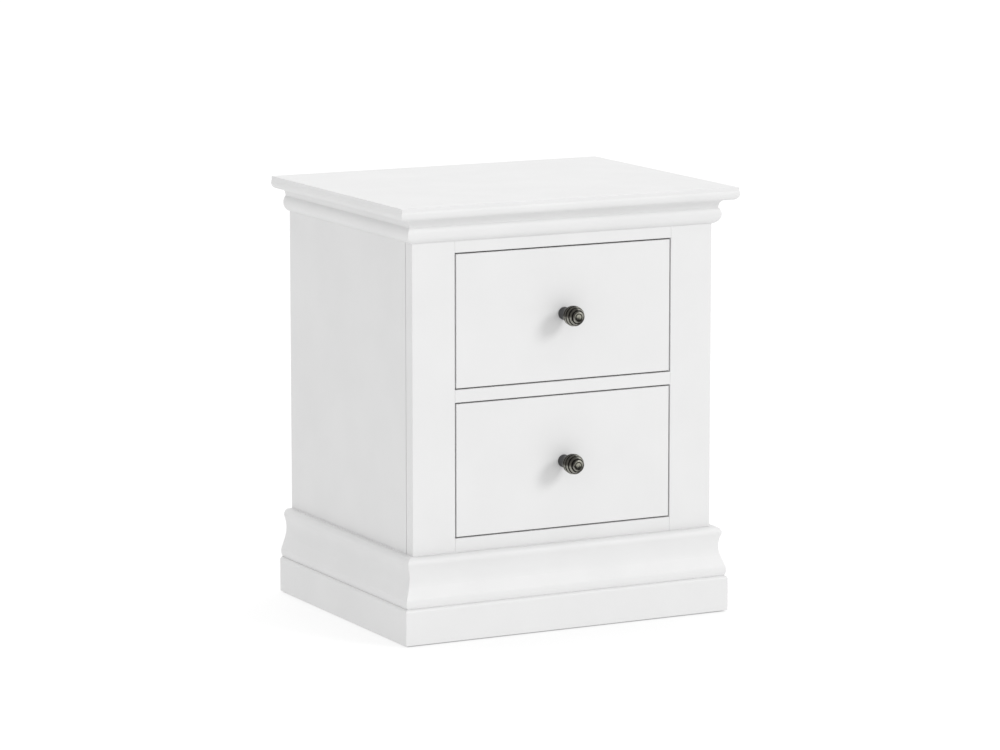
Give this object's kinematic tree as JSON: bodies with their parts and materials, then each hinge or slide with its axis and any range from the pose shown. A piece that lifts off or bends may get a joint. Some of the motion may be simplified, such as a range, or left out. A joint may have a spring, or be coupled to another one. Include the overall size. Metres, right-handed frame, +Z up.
{
  "type": "nightstand with drawers",
  "caption": "White painted bedside cabinet with inset drawers, ringed metal knobs, a round-nosed top over a cornice, and a moulded plinth.",
  "frame": {"origin": "centre of the bounding box at floor level, under the middle of the cabinet with its knobs", "axes": "+Z up, front towards -Y, +X to the right seen from the front"},
  "size_m": [0.53, 0.44, 0.61],
  "materials": {
    "white_paint": "satin white paint, sprayed over primed solid wood",
    "painted_board": "thin satin white paint on fibreboard",
    "drawer_birch": "clear lacquered planed birch",
    "birch_plywood": "clear lacquered birch plywood",
    "pine": "planed, unfinished",
    "antique_pewter": "dark antique plating rubbed bright on the ring crests",
    "steel": "bright zinc plated",
    "nylon": "moulded nylon"
  },
  "bodies": {
    "carcass": {"top_panel": "white_paint", "cornice_front": "white_paint", "cornice_left": "white_paint", "cornice_right": "white_paint", "top_cleat_left": "pine", "top_cleat_right": "pine", "top_cleat_back": "pine", "top_screws": "steel", "base_moulding_front": "white_paint", "base_moulding_left": "white_paint", "base_moulding_right": "white_paint", "plinth_front": "white_paint", "plinth_left": "white_paint", "plinth_right": "white_paint", "plinth_back": "pine", "corner_blocks": "pine", "floor_glides": "nylon", "stile_left": "white_paint", "stile_right": "white_paint", "top_rail": "white_paint", "middle_rail": "white_paint", "bottom_rail": "white_paint", "bottom_web_rail": "pine", "side_left": "white_paint", "side_right": "white_paint", "bottom_runner_left": "pine", "bottom_runner_right": "pine", "bottom_back_rail": "pine", "bottom_dust_panel": "birch_plywood", "middle_runner_left": "pine", "middle_runner_right": "pine", "middle_back_rail": "pine", "middle_dust_panel": "birch_plywood", "lower_guide_left": "pine", "lower_guide_right": "pine", "upper_guide_left": "pine", "upper_guide_right": "pine", "kicker_left": "pine", "kicker_right": "pine", "drawer_stops": "pine", "back_panel": "painted_board", "back_screws": "steel"},
    "upper_drawer": {"upper_drawer_front": "white_paint", "upper_drawer_side_left": "drawer_birch", "upper_drawer_side_right": "drawer_birch", "upper_drawer_back": "drawer_birch", "upper_drawer_bottom": "birch_plywood", "upper_drawer_bottom_screws": "steel", "upper_knob": "antique_pewter", "upper_knob_screw": "steel"},
    "lower_drawer": {"lower_drawer_front": "white_paint", "lower_drawer_side_left": "drawer_birch", "lower_drawer_side_right": "drawer_birch", "lower_drawer_back": "drawer_birch", "lower_drawer_bottom": "birch_plywood", "lower_drawer_bottom_screws": "steel", "lower_knob": "antique_pewter", "lower_knob_screw": "steel"}
  },
  "joints": [
    {"name": "upper_drawer_slide", "type": "slide", "parent": "carcass", "child": "upper_drawer", "axis": [0, -1, 0], "range_m": [0, 0.26]},
    {"name": "lower_drawer_slide", "type": "slide", "parent": "carcass", "child": "lower_drawer", "axis": [0, -1, 0], "range_m": [0, 0.26]}
  ]
}
